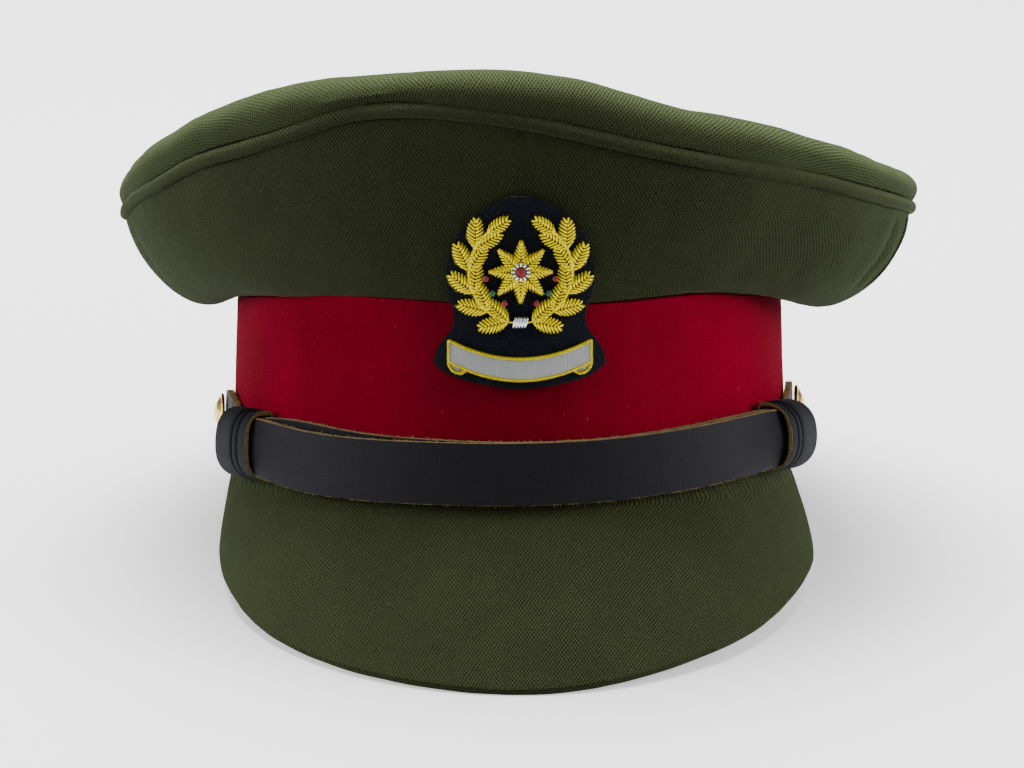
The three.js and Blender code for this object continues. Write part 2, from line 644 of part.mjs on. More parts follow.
// Half of the wreath: a curved stem with leaves in pairs and one at its tip
function makeSpray(side) {
  const stemPoint = (turn) => {
    const x = side * WREATH.radius * Math.sin(radians(turn));
    return new THREE.Vector2(x, WREATH.height - WREATH.radius * Math.cos(radians(turn)));
  };
  const headed = (turn) => new THREE.Vector2(side * Math.cos(radians(turn)), Math.sin(radians(turn)));
  const stem = bodyFromLoops(
    spread(STEM.from, STEM.to, 14).map((turn) => {
      const middle = stemPoint(turn);
      const outward = new THREE.Vector2(side * Math.sin(radians(turn)), -Math.cos(radians(turn)));
      const rim = middle.clone().addScaledVector(outward, STEM.half);
      const core = middle.clone().addScaledVector(outward, -STEM.half);
      return [
        offFront(rim.x, rim.y, STITCHED + STEM.edge),
        offFront(middle.x, middle.y, STITCHED + STEM.rise),
        offFront(core.x, core.y, STITCHED + STEM.edge),
        offFront(middle.x, middle.y, STITCHED),
      ];
    }),
  );
  const leaves = LEAF_TURNS.flatMap((turn) => {
    return [-LEAF.spread, LEAF.spread].map((aside) => {
      return makeLeaf(stemPoint(turn), headed(turn + aside), LEAF.length, LEAF.width);
    });
  });
  const last = makeLeaf(stemPoint(STEM.to - 2), headed(STEM.to + 4), LEAF.lastLength, LEAF.lastWidth);
  return fuse([stem, ...leaves, last]);
}

// The faceted star in the middle of the wreath
function makeStar() {
  const corners = 2 * STAR.points;
  const rim = spread(0, corners, corners).slice(0, -1).map((i) => {
    const radius = i % 2 ? STAR.inner : STAR.outer;
    const turn = radians((i * 360) / corners);
    return new THREE.Vector2(radius * Math.sin(turn), WREATH.height + radius * Math.cos(turn));
  });
  const face = rim.map((spot) => offFront(spot.x, spot.y, STITCHED + STAR.edge));
  const back = rim.map((spot) => offFront(spot.x, spot.y, STITCHED));
  const summit = offFront(0, WREATH.height, STITCHED + STAR.rise);
  const heel = offFront(0, WREATH.height, STITCHED);
  const triangles = [];
  for (let i = 0; i < corners; i++) {
    const k = (i + 1) % corners;
    triangles.push([2 * corners, i, k], [2 * corners + 1, corners + k, corners + i]);
    triangles.push([i, corners + i, corners + k], [i, corners + k, k]);
  }
  return bodyFromTriangles([...face, ...back, summit, heel], triangles);
}

// Assembly
const cap = new THREE.Group();

function add(name, geometry, colour, roughness, metalness = 0) {
  const material = new THREE.MeshStandardMaterial({ color: colour, roughness, metalness });
  const mesh = new THREE.Mesh(geometry, material);
  mesh.name = name;
  cap.add(mesh);
  return mesh;
}

add("band", makeBand(), COLOURS.red, 0.95);
add("quarter_front_left", makeQuarter(SIDE_SEAMS.left, 0, 14), COLOURS.khaki, 0.95);
add("quarter_front_right", makeQuarter(0, SIDE_SEAMS.right, 14), COLOURS.khaki, 0.95);
add("quarter_rear_right", makeQuarter(SIDE_SEAMS.right, 180, 12), COLOURS.khaki, 0.95);
add("quarter_rear_left", makeQuarter(180, 360 + SIDE_SEAMS.left, 12), COLOURS.khaki, 0.95);
add("welt_piping", makePiping(), COLOURS.khakiCord, 0.95);
add("crown_top", makeCrownTop(), COLOURS.khaki, 0.95);
add("peak", makePeak(), COLOURS.khaki, 0.95);

add("strap_top", makeStrap("top", SIDES.left, SIDES.right), COLOURS.leather, 0.5);
add("strap_under", makeStrap("under", SIDES.right, SIDES.left), COLOURS.leather, 0.5);
for (const [name, side] of Object.entries(SIDES)) {
  add(`keeper_${name}`, makeKeeper(side), COLOURS.leather, 0.5);
  const angle = BUTTON.angle * side.sign;
  const button = add(`button_${name}`, makeButton(), COLOURS.gilt, 0.25, 1);
  button.position.copy(offBand(angle, side.buttonHeight, SEWN + STRAP.thickness + GAP));
  const outward = ovalNormal(bandOval(0), angle);
  const facing = new THREE.Vector3(outward.x, outward.y, 0);
  button.quaternion.setFromUnitVectors(new THREE.Vector3(0, 0, 1), facing);
}

add("badge_felt", makeFelt(), COLOURS.felt, 0.95);
add("badge_scroll", makeScroll(), COLOURS.satin, 0.6);
add("badge_spray_left", makeSpray(-1), COLOURS.bullion, 0.4, 0.8);
add("badge_spray_right", makeSpray(1), COLOURS.bullion, 0.4, 0.8);
add("badge_star", makeStar(), COLOURS.bullion, 0.4, 0.8);

// The cap stands over its own middle, on the surface z = 0
cap.applyMatrix4(restPlace);
const kepi = new THREE.Group();
kepi.add(cap);
kepi.updateMatrixWorld(true);
const middle = new THREE.Box3().setFromObject(kepi, true).getCenter(new THREE.Vector3());
cap.position.x -= middle.x;
cap.position.y -= middle.y;

export default kepi;
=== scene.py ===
"""The look of a khaki officer's peaked service cap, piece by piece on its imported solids."""

import math
import random

import bmesh
import bpy
from mathutils import Matrix, Vector, noise
from mathutils.bvhtree import BVHTree


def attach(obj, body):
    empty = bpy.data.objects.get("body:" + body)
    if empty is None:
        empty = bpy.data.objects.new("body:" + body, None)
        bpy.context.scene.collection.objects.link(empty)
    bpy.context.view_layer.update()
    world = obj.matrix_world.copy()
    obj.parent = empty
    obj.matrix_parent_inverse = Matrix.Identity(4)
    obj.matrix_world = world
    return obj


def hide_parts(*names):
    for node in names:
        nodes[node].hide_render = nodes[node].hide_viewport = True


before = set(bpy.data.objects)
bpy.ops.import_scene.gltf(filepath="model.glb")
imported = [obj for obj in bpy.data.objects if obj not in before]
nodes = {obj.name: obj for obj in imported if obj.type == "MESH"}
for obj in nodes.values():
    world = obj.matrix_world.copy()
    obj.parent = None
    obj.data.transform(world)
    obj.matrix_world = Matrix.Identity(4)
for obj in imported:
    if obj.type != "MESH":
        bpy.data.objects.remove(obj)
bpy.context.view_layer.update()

# Band
# One ring of red felted wool that goes round the head. Its lower rim is turned in over a stiffener,
# and the peak and the crown's cloth are sewn to it.

# The cap stands tipped back. This turns the upright cap, whose lower rim is level, into its place.
rest_place = (-0.003, -0.002563, 0.0195391)
rest_tip = math.radians(-10.96)
standing = Matrix.Translation(rest_place) @ Matrix.Rotation(rest_tip, 4, "X")
upright = standing.inverted()
cap_up = standing.to_3x3() @ Vector((0, 0, 1))


def activate(piece):
    bpy.ops.object.select_all(action="DESELECT")
    piece.select_set(True)
    bpy.context.view_layer.objects.active = piece


def cut_from(node, name):
    """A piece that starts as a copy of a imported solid, with its points merged and its faces in fours."""
    piece = bpy.data.objects.new(name, nodes[node].data.copy())
    bpy.context.collection.objects.link(piece)
    piece.data.materials.clear()
    activate(piece)
    bpy.ops.mesh.customdata_custom_splitnormals_clear()
    bpy.ops.object.mode_set(mode="EDIT")
    bpy.ops.mesh.select_all(action="SELECT")
    bpy.ops.mesh.remove_doubles(threshold=0.00001)
    bpy.ops.mesh.tris_convert_to_quads(face_threshold=math.radians(60), shape_threshold=math.radians(70))
    bpy.ops.object.mode_set(mode="OBJECT")
    return piece


def modify(piece, kind, **settings):
    activate(piece)
    modifier = piece.modifiers.new(kind.title(), kind)
    for setting, value in settings.items():
        setattr(modifier, setting, value)
    bpy.ops.object.modifier_apply(modifier=modifier.name)


def soften(piece, edge, levels):
    """Rounds the hard edges by a small radius, and then the whole."""
    modify(piece, "BEVEL", width=edge, segments=2, limit_method="ANGLE", angle_limit=math.radians(48))
    modify(piece, "SUBSURF", levels=levels, render_levels=levels)
    bpy.ops.object.shade_smooth()


def push(piece, depth):
    """Moves each point out along its normal, by a depth that depends on its place and normal."""
    moved = [point.co + point.normal * depth(point.co, point.normal) for point in piece.data.vertices]
    for point, place in zip(piece.data.vertices, moved):
        point.co = place


def rumple(piece, coarse, fine):
    """Moves the cloth in and out a little: in broad soft waves, and in small lumps."""
    shift = Vector((5, 9, 2))
    push(piece, lambda spot, _: coarse * noise.noise(spot * 28) + fine * noise.noise(spot * 130 + shift))


head_radius = 0.098
round_lap = 2 * math.pi * head_radius


def lay_weave(piece, flat):
    """Gives the piece the flat pattern it was cut in, in metres, from its place on the upright cap."""
    spots = [flat(upright @ vertex.co) for vertex in piece.data.vertices]
    layer = piece.data.uv_layers.new(name="cut")
    for face in piece.data.polygons:
        across = [spots[piece.data.loops[i].vertex_index][0] for i in face.loop_indices]
        lap = round_lap if max(across) - min(across) > round_lap / 2 else 0
        for i in face.loop_indices:
            u, v = spots[piece.data.loops[i].vertex_index]
            layer.data[i].uv = (u + lap if u < 0 else u, v)


band_across, band_along = 0.086, 0.1075


def way_round(spot):
    """The way round the head of a place on the upright cap, from the front."""
    return math.atan2(spot.x / band_across, -spot.y / band_along)


def round_cut(spot):
    """The pattern of a piece that goes round the head: the way round, and up."""
    return head_radius * way_round(spot), spot.z


def dress(piece, node, slot, *finishes):
    for finish in finishes:
        piece.data.materials.append(finish)
    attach(piece, "root")
    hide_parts(node)


class Signal:
    """A socket of a finish, used in sums."""

    def __init__(self, finish, socket):
        self.finish = finish
        self.socket = socket

    def sum(self, operation, first, second=0.0):
        return self.finish.node("ShaderNodeMath", {"operation": operation}, {0: first, 1: second})

    def __add__(self, other):
        return self.sum("ADD", self, other)

    def __radd__(self, other):
        return self.sum("ADD", other, self)

    def __sub__(self, other):
        return self.sum("SUBTRACT", self, other)

    def __rsub__(self, other):
        return self.sum("SUBTRACT", other, self)

    def __mul__(self, other):
        return self.sum("MULTIPLY", self, other)

    def __rmul__(self, other):
        return self.sum("MULTIPLY", other, self)

    def wave(self, length):
        """Rises and falls between -1 and 1 once in each length."""
        return self.sum("SINE", self * (2 * math.pi / length))

    def over(self, low, high):
        """0 below low, 1 above high, and a smooth step between."""
        return self.finish.node(
            "ShaderNodeMapRange",
            {"interpolation_type": "SMOOTHSTEP"},
            {"Value": self, "From Min": low, "From Max": high},
        )


class Finish:
    """The finish of one kind of surface."""

    def __init__(self, name, **constants):
        self.material = bpy.data.materials.new(name)
        self.material.use_nodes = True
        self.tree = self.material.node_tree
        self.surface = self.tree.nodes["Principled BSDF"]
        for socket, value in constants.items():
            self.surface.inputs[socket.replace("_", " ")].default_value = value

    def node(self, kind, settings, sockets, output=0):
        made = self.tree.nodes.new(kind)
        for setting, value in settings.items():
            setattr(made, setting, value)
        for socket, value in sockets.items():
            if isinstance(value, Signal):
                self.tree.links.new(value.socket, made.inputs[socket])
            else:
                made.inputs[socket].default_value = value
        return Signal(self, made.outputs[output])

    def grain(self, size, detail=2.0):
        """Soft random patches of a size, from 0 to 1."""
        place = self.node("ShaderNodeTexCoord", {}, {}, "Object")
        return self.node("ShaderNodeTexNoise", {}, {"Vector": place, "Scale": 1 / size, "Detail": detail})

    def pattern(self):
        """The ways across and along the cloth's flat pattern."""
        place = self.node("ShaderNodeUVMap", {"uv_map": "cut"}, {})
        across = self.node("ShaderNodeSeparateXYZ", {}, {0: place}, "X")
        return across, Signal(self, across.socket.node.outputs["Y"])

    def blend(self, share, first, second):
        return self.node("ShaderNodeMix", {"data_type": "RGBA"}, {0: share, 6: first, 7: second}, 2)

    def relief(self, height, depth):
        return self.node("ShaderNodeBump", {}, {"Strength": 1.0, "Distance": depth, "Height": height})

    def paint(self, **signals):
        for socket, signal in signals.items():
            self.tree.links.new(signal.socket, self.surface.inputs[socket.replace("_", " ")])
        return self.material


def red_felt():
    """Felted wool: a dense short nap with the threads just showing through, and a few pale hairs."""
    finish = Finish("red felted wool", Roughness=0.95, Sheen_Weight=0.12, Sheen_Roughness=0.4)
    finish.surface.inputs["Sheen Tint"].default_value = (1.0, 0.12, 0.25, 1)
    finish.surface.inputs["Specular IOR Level"].default_value = 0.05
    across, along = finish.pattern()
    wander = finish.grain(0.006) * 0.0006
    threads = (across + wander).wave(0.0011) * 0.5 + (along + wander).wave(0.0009) * 0.3
    nap = finish.grain(0.0005, 3.0)
    patches = finish.grain(0.035, 3.0)
    hairs = finish.grain(0.0014, 1.0).over(0.74, 0.8)
    depth = threads * 0.1 + nap * 0.9 + patches * 0.7 - 0.35
    worn = finish.blend(depth.over(0.0, 1.0), (0.17, 0.0004, 0.010, 1), (0.40, 0.001, 0.026, 1))
    colour = finish.blend(hairs * 0.45, worn, (0.55, 0.06, 0.10, 1))
    return finish.paint(Base_Color=colour, Normal=finish.relief(threads * 0.25 + nap, 0.00022))


band = cut_from("band", "band_cloth")
soften(band, 0.0006, 2)
rumple(band, 0.0002, 0.00012)
lay_weave(band, round_cut)
dress(band, "band", "red_cloth", red_felt())

# Crown's wall
# Four quarters of khaki barathea, sewn to each other at the front, the sides and the rear, and to the
# band below. The cloth has no stiffener here, so it sags outwards in soft folds.


def barathea(name, light, dark, thread, lean=0.0, crisp=1.0, clouds=0.45):
    """Pebbled wool: short threads in two slanting rows that cross, dark gaps, and a paler fuzz."""
    finish = Finish(name, Roughness=0.92, Sheen_Weight=0.12, Sheen_Roughness=0.4)
    finish.surface.inputs["Sheen Tint"].default_value = (0.5, 0.75, 0.35, 1)
    finish.surface.inputs["Specular IOR Level"].default_value = 0.12
    across, along = finish.pattern()
    wander = finish.grain(0.009) * 0.0012 + finish.grain(0.0016) * 0.0007
    falling = (across + along * 0.7 + wander).wave(thread)
    rising = (across - along * 0.7 + wander).wave(thread)
    share = finish.grain(0.004) * 0.5 + (0.25 + lean)
    weave = (rising * share + falling * (1.0 - share)).over(-0.7, 0.25)
    hairs = finish.grain(0.0007, 3.0)
    patches = finish.grain(0.03, 3.0)
    pale = finish.grain(0.0011, 1.0).over(0.7, 0.8)
    shade = (weave - 0.6) * (0.7 * crisp) + hairs * 0.5 + patches * clouds + (0.25 - clouds / 2)
    cloth = finish.blend(shade.over(0.0, 1.0), dark, light)
    colour = finish.blend(pale * 0.3, cloth, (0.12, 0.15, 0.08, 1))
    return finish.paint(Base_Color=colour, Normal=finish.relief(weave + hairs * 0.7, 0.00025))


def ramp(value, low, high):
    """0 below low, 1 above high, and a smooth step between."""
    share = min(max((value - low) / (high - low), 0), 1)
    return share * share * (3 - 2 * share)


def seam_share(spot, middle, half):
    """-1 at a quarter's first end and 1 at its last."""
    return ((math.degrees(way_round(spot)) - middle + 180) % 360 - 180) / half


seam_gap = 0.22


def close_seams(piece, middle, half):
    """Draws a quarter's ends on to its neighbours, by a turn that grows from its middle."""
    for vertex in piece.data.vertices:
        spot = upright @ vertex.co
        turn = math.radians(seam_gap * seam_share(spot, middle, half))
        vertex.co = standing @ (Matrix.Rotation(turn, 4, "Z") @ spot)


wall_radius = 0.115
seam_width = 0.0023
swell_middle, swell_width = 0.008, 0.005
band_top = (0.057, 0.062)
under_cord = (0.0775, 0.0805)
deep = 0.0005


def draw_in(piece, middle, half, depths, swells):
    """Sinks the cloth along the seams at a quarter's two ends, and swells it beside them.

    Both fade out at the band, and a deep seam fades out under the cord too.
    """
    for vertex in piece.data.vertices:
        spot = upright @ vertex.co
        share = seam_share(spot, middle, half)
        last = share > 0
        away = (1 - abs(share)) * math.radians(half) * wall_radius
        fade = ramp(spot.z, *under_cord) if depths[last] > deep else 0
        height = ramp(spot.z, *band_top) * (1 - fade)
        sink = depths[last] * math.exp(-((away / seam_width) ** 2))
        swell = swells[last] * math.exp(-(((away - swell_middle) / swell_width) ** 2))
        out = Vector((spot.x, spot.y, 0)).normalized()
        vertex.co = standing @ (spot + (swell - sink) * height * out)


narrow = 0.00003


def shift_edge(piece, way, depth, share):
    """Moves the narrow faces that look up or down further that way, by a share for each place."""
    sheet = piece.data
    edge = {
        i
        for face in sheet.polygons
        if way * face.normal.dot(cap_up) > 0.8 and face.area < narrow
        for i in face.vertices
    }
    for i in edge:
        sheet.vertices[i].co += way * depth * share(upright @ sheet.vertices[i].co) * cap_up


thread = 0.00105
khaki_light = (0.060, 0.072, 0.026, 1)
khaki_dark = (0.013, 0.016, 0.006, 1)
wall_cloth = barathea("khaki barathea", khaki_light, khaki_dark, thread, crisp=0.8)
# The rear quarters get the same barathea painted darker: painted shade on the cloth that turns away from
# the light.
rear_light_painted_shade = (0.044, 0.054, 0.02, 1)
rear_dark_painted_shade = (0.01, 0.0125, 0.005, 1)
rear_cloth_painted_shade = barathea("khaki barathea of the rear, painted shade", rear_light_painted_shade, rear_dark_painted_shade, thread)
# Each quarter's middle and half its turn in degrees, and the sinks and swells at its first and last end.
quarters = (
    ("quarter_front_left", -42, 42, (0.0004, 0.0004), (0.0, 0.0), wall_cloth),
    ("quarter_front_right", 37.5, 37.5, (0.0004, 0.0012), (0.0, 0.0006), wall_cloth),
    ("quarter_rear_right", 127.5, 52.5, (0.0012, 0.0004), (0.0006, 0.0), rear_cloth_painted_shade),
    ("quarter_rear_left", -132, 48, (0.0004, 0.0004), (0.0, 0.0), rear_cloth_painted_shade),
)
cord_gap = 0.0003
near_cord = 0.072
for quarter, middle, half, depths, swells, cloth in quarters:
    piece = cut_from(quarter, quarter + "_cloth")
    close_seams(piece, middle, half)
    shift_edge(piece, 1, cord_gap, lambda spot: spot.z > near_cord)
    soften(piece, 0.0003, 3)
    rumple(piece, 0.0008, 0.00022)
    draw_in(piece, middle, half, depths, swells)
    lay_weave(piece, round_cut)
    dress(piece, quarter, "khaki", cloth)

# Corded seam
# A cord wrapped in a bias strip of the same cloth, sewn in between the crown's wall and its top. The
# strip's ribs run slantwise round the cord.

crown_x, crown_y = 0.003, 0.009
crown_across, crown_along = 0.123, 0.131
crown_radius = 0.124
cord_inset = 0.0012
cord_radius = 0.0023
rings = 72


def cord_angle(spot):
    """The way round the crown of a place on the upright cap, in degrees from the front."""
    return math.degrees(math.atan2((spot.x - crown_x) / crown_across, -(spot.y - crown_y) / crown_along))


ring_heights = [[] for _ in range(rings)]
for point in nodes["welt_piping"].data.vertices:
    spot = upright @ point.co
    ring_heights[round(cord_angle(spot) * rings / 360) % rings].append(spot.z)
cord_heights = [sum(heights) / len(heights) for heights in ring_heights]


def cord_cut(spot):
    """The pattern of the strip: the way round the crown, and the way over the cord."""
    angle = cord_angle(spot)
    low = math.floor(angle * rings / 360)
    share = angle * rings / 360 - low
    height = (1 - share) * cord_heights[low % rings] + share * cord_heights[(low + 1) % rings]
    sine, cosine = math.sin(math.radians(angle)), math.cos(math.radians(angle))
    middle = math.hypot((crown_across - cord_inset) * sine, (crown_along - cord_inset) * cosine)
    out = math.hypot(spot.x - crown_x, spot.y - crown_y) - middle
    return crown_radius * math.radians(angle), cord_radius * math.atan2(spot.z - height, out)


# The cord gets the same barathea painted lighter: painted light on the raised cord.
cord_light_painted_light = (0.078, 0.09, 0.036, 1)
cord_dark_painted_light = (0.016, 0.019, 0.008, 1)
cord_cloth_painted_light = barathea("khaki barathea on the bias, painted light", cord_light_painted_light, cord_dark_painted_light, 0.001, lean=-0.12)
piping = cut_from("welt_piping", "welt_piping_cloth")
modify(piping, "SUBSURF", levels=2, render_levels=2)
bpy.ops.object.shade_smooth()
push(piping, lambda spot, _: 0.0004 + 0.00012 * noise.noise(spot * 160))
lay_weave(piping, cord_cut)
dress(piping, "welt_piping", "khaki_cord", cord_cloth_painted_light)

# Crown's top
# One round sheet of the same cloth. It swells up over the cord as a soft roll, and hangs in a shallow
# dish inside it.

crest_height, crest_rise = 0.099, 0.024
roll_inner, roll_outer = 0.014, 0.004


def top_cut(spot):
    """The pattern of the round sheet: from its middle, straight out over the roll and down."""
    x, y = spot.x - crown_x, spot.y - crown_y
    out = math.hypot(x, y)
    turn = math.atan2(x, y)
    rim = math.hypot(crown_across * math.sin(turn), crown_along * math.cos(turn))
    crest = crest_height + crest_rise * max(-math.cos(turn), 0)
    down = ramp(out, rim - roll_inner, rim - roll_outer) * max(crest - spot.z, 0)
    length = min(out, rim - roll_outer) + down
    return length * math.sin(turn), length * math.cos(turn)


top = cut_from("crown_top", "crown_top_cloth")
shift_edge(top, -1, cord_gap, lambda _: 1)
soften(top, 0.0003, 2)
rumple(top, 0.0011, 0.0003)
lay_weave(top, top_cut)
# The top gets the same barathea painted lighter: painted light, where the light from above falls on the
# roll.
top_light_painted_light = (0.086, 0.106, 0.04, 1)
top_dark_painted_light = (0.02, 0.025, 0.009, 1)
top_cloth_painted_light = barathea("khaki barathea of the top, painted light", top_light_painted_light, top_dark_painted_light, thread, lean=0.06, clouds=0.2)
dress(top, "crown_top", "khaki", top_cloth_painted_light)

# Peak
# A stiff curved board covered in the same cloth, with its root tucked under the band. The rows of the
# weave lean more and more to its sides, because the flat cloth is bent round it.

peak_slope = math.radians(51)
cone_radius = 0.151
cone_share = 0.63


def peak_cut(spot):
    """The pattern of the crescent: a cone's side, laid out flat."""
    angle = cone_share * way_round(spot)
    down = cone_radius + max(-spot.z, 0) / math.sin(peak_slope)
    return down * math.sin(angle), -down * math.cos(angle)


root_rise = 0.0012
peak = cut_from("peak", "peak_cloth_painted_light")
shift_edge(peak, 1, root_rise, lambda _: 1)
soften(peak, 0.0006, 2)
rumple(peak, 0.0002, 0.00012)
lay_weave(peak, peak_cut)
# The peak gets the same barathea painted a little lighter than the wall's: painted light.
peak_light_painted_light = (0.064, 0.076, 0.027, 1)
peak_cloth_painted_light = barathea("khaki barathea of the peak, painted light", peak_light_painted_light, khaki_dark, 0.0011, lean=0.05, crisp=1.1)
dress(peak, "peak", "khaki", peak_cloth_painted_light)

# Chin strap
# Two straps of dark brown leather across the front, cut with raw tan edges that fray a little. Each
# runs from its plain end inside one sliding loop to a side button beyond the other.


def mark_raw(piece, is_raw):
    """Marks the faces that are the leather's cut edges."""
    marks = piece.data.attributes.new("raw", "FLOAT", "FACE")
    for face in piece.data.polygons:
        marks.data[face.index].value = 1.0 if is_raw(face) else 0.0


pores_per_metre = 1500.0


def leather(name, tone, roughness, gloss):
    """Dyed leather: fine pores and creases, random mottling made lighter and bluer as a painted sheen, and
    bare tan fibres at the cut edges.
    """
    finish = Finish(name, Coat_Roughness=0.35)
    finish.surface.inputs["Specular IOR Level"].default_value = gloss
    finish.surface.inputs["Specular Tint"].default_value = (0.8, 0.86, 1.0, 1)
    pores = finish.node(
        "ShaderNodeTexVoronoi",
        {"feature": "DISTANCE_TO_EDGE"},
        {"Vector": finish.node("ShaderNodeTexCoord", {}, {}, "Object"), "Scale": pores_per_metre},
    )
    grain = finish.grain(0.0009, 4.0)
    patches = finish.grain(0.012, 4.0)
    creases = pores.over(0.0, 0.16) * 0.6 + grain * 0.5
    dark = tuple(0.62 * c for c in tone) + (1,)
    # Random patches of the hide turn lighter and bluer: random mottling, with a painted sheen in its
    # colour.
    mottle_and_painted_sheen = tuple(1.5 * c for c in tone[:2]) + (2.0 * tone[2], 1)
    hide = finish.blend((patches * 0.8 + grain * 0.5 - 0.15).over(0.1, 1.0), dark, mottle_and_painted_sheen)
    fibres = finish.grain(0.0004, 3.0)
    tan = finish.blend(fibres.over(0.3, 0.75), (0.18, 0.13, 0.055, 1), (0.5, 0.38, 0.18, 1))
    raw = finish.node("ShaderNodeAttribute", {"attribute_name": "raw"}, {}, "Fac")
    colour = finish.blend(raw, hide, tan)
    rough = raw * (0.95 - roughness) + roughness + patches * 0.12
    height = creases * (1.0 - raw) + fibres * raw * 1.6
    return finish.paint(Base_Color=colour, Roughness=rough, Normal=finish.relief(height, 0.00012))


fibre_radius = 0.00007
fibre_root = 0.0001
fibre_bend = 0.00022


def fray(piece, name, count, seed):
    """Loose fibres along the raw edges, each a thin bent sliver with three sides."""
    chance = random.Random(seed)
    marks = piece.data.attributes["raw"].data
    raw = [face for face in piece.data.polygons if marks[face.index].value > 0.5]
    tufts = bmesh.new()
    for _ in range(count):
        face = chance.choice(raw)
        foot = face.center.copy()
        lean = Vector([chance.uniform(-0.8, 0.8) for _ in range(3)])
        way = (face.normal + lean).normalized()
        side = way.orthogonal().normalized() * fibre_radius
        length = chance.uniform(0.0003, 0.0011)
        bend = Vector([chance.uniform(-1, 1) for _ in range(3)]) * fibre_bend
        root = foot - fibre_root * way
        corners = [root + Matrix.Rotation(turn, 3, way) @ side for turn in (0, 2.1, 4.2)]
        middle = [foot + 0.5 * length * way + bend + 0.7 * (corner - foot) for corner in corners]
        low = [tufts.verts.new(corner) for corner in corners]
        high = [tufts.verts.new(corner) for corner in middle]
        tip = tufts.verts.new(foot + length * way)
        tufts.faces.new(list(reversed(low)))
        for i in range(3):
            k = (i + 1) % 3
            tufts.faces.new((low[i], low[k], high[k], high[i]))
            tufts.faces.new((high[i], high[k], tip))
    mesh = bpy.data.meshes.new(name)
    tufts.to_mesh(mesh)
    tufts.free()
    made = bpy.data.objects.new(name, mesh)
    bpy.context.collection.objects.link(made)
    activate(made)
    bpy.ops.object.mode_set(mode="EDIT")
    bpy.ops.mesh.select_all(action="SELECT")
    bpy.ops.mesh.normals_make_consistent(inside=False)
    bpy.ops.object.mode_set(mode="OBJECT")
    made.data.materials.append(bare_fibre)
    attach(made, "root")
    return made


def tan_fibre():
    finish = Finish("bare leather fibre", Roughness=0.9)
    colour = finish.blend(finish.grain(0.002).over(0.3, 0.7), (0.2, 0.14, 0.06, 1), (0.5, 0.38, 0.18, 1))
    return finish.paint(Base_Color=colour)


bare_fibre = tan_fibre()
strap_leather = leather("strap leather", (0.0098, 0.0082, 0.0084), 0.55, 0.15)


# Under each loop: its middle in degrees from the front, its middle height, how far the strap stands
# off the band there, and how much further at half its height.
under_right = (61, 0.0155, 0.0018, 0.0026)
under_left = (-60, 0.0135, 0.001, 0.0013)
loop_half = 0.0106
loop_reach = 16


def stand_off(spot):
    """How far the strap stands further off the band under a sliding loop, most at half its height."""
    angle = math.degrees(way_round(spot))
    middle, height, depth, swell = under_right if angle > 0 else under_left
    rise = min(abs(spot.z - height) / loop_half, 1)
    near = math.cos(math.radians(90 * min(abs(angle - middle) / loop_reach, 1))) ** 2
    return near * (depth + swell * (1 - 2.2 * rise * rise))


def off_band(spot):
    """The level way straight off the band."""
    return Vector((spot.x / band_across**2, spot.y / band_along**2, 0)).normalized()


def in_front(spot):
    """1 in front, between the loops, and 0 beyond them."""
    return 1 - ramp(abs(math.degrees(way_round(spot))), 50, 55)


strap_drop = 0.0009
for strap, seed in (("strap_top", 3), ("strap_under", 8)):
    piece = cut_from(strap, strap + "_leather")
    shift_edge(piece, -1, strap_drop, in_front)
    for vertex in piece.data.vertices:
        spot = upright @ vertex.co
        vertex.co = standing @ (spot + stand_off(spot) * off_band(spot))
    soften(piece, 0.00055, 2)
    mark_raw(piece, lambda face: abs(face.normal.dot(cap_up)) > 0.4)
    push(piece, lambda spot, normal: 0.00022 * noise.noise(spot * 500) * (abs(normal.dot(cap_up)) > 0.5))
    dress(piece, strap, "leather", strap_leather)
    fray(piece, strap + "_fray", 520, seed)

# Sliding loops
# A strip of the same leather bent round both straps, its ends sewn behind them. Two lines are pressed
# in beside the raw front edge.


def round_place(angle, height, out):
    """A place off the band of the upright cap, and the level way along the band there."""
    sine, cosine = math.sin(math.radians(angle)), math.cos(math.radians(angle))
    normal = Vector((sine / band_across, -cosine / band_along, 0)).normalized()
    spot = Vector((band_across * sine, -band_along * cosine, height)) + out * normal
    along = Vector((-normal.y, normal.x, 0))
    return standing @ spot, standing.to_3x3() @ along


line_half = 0.0007


def press_line(piece, angle, depth, middle):
    """Cuts three rings round the loop and pushes the middle one in."""
    spot, along = round_place(angle, 0.015, 0.005)
    activate(piece)
    bpy.ops.object.mode_set(mode="EDIT")
    for offset in (-line_half, 0, line_half):
        bpy.ops.mesh.select_all(action="SELECT")
        bpy.ops.mesh.bisect(plane_co=spot + offset * along, plane_no=along)
    bpy.ops.object.mode_set(mode="OBJECT")

    def press(place, normal):
        on_line = abs((place - spot).dot(along)) < 0.0001
        return -depth * (on_line and normal.dot(place - middle) > 0)

    push(piece, press)


def round_off(piece, height, full, top, bottom):
    """Fills out the loop's middle, and draws its corners in."""
    for vertex in piece.data.vertices:
        spot = upright @ vertex.co
        rise = (spot.z - height) / loop_half
        out = ramp(math.hypot(spot.x / band_across, spot.y / band_along), 1.01, 1.05)
        depth = full * (1 - rise * rise) - (top if rise > 0 else bottom) * abs(rise) ** 3
        vertex.co = standing @ (spot + depth * out * off_band(spot))


# The loops get the same leather painted darker, as painted shade, and bluer, as a painted sheen.
loop_leather_painted_shade_and_sheen = leather("loop leather, painted shade and sheen", (0.0026, 0.0025, 0.0042), 0.62, 0.09)
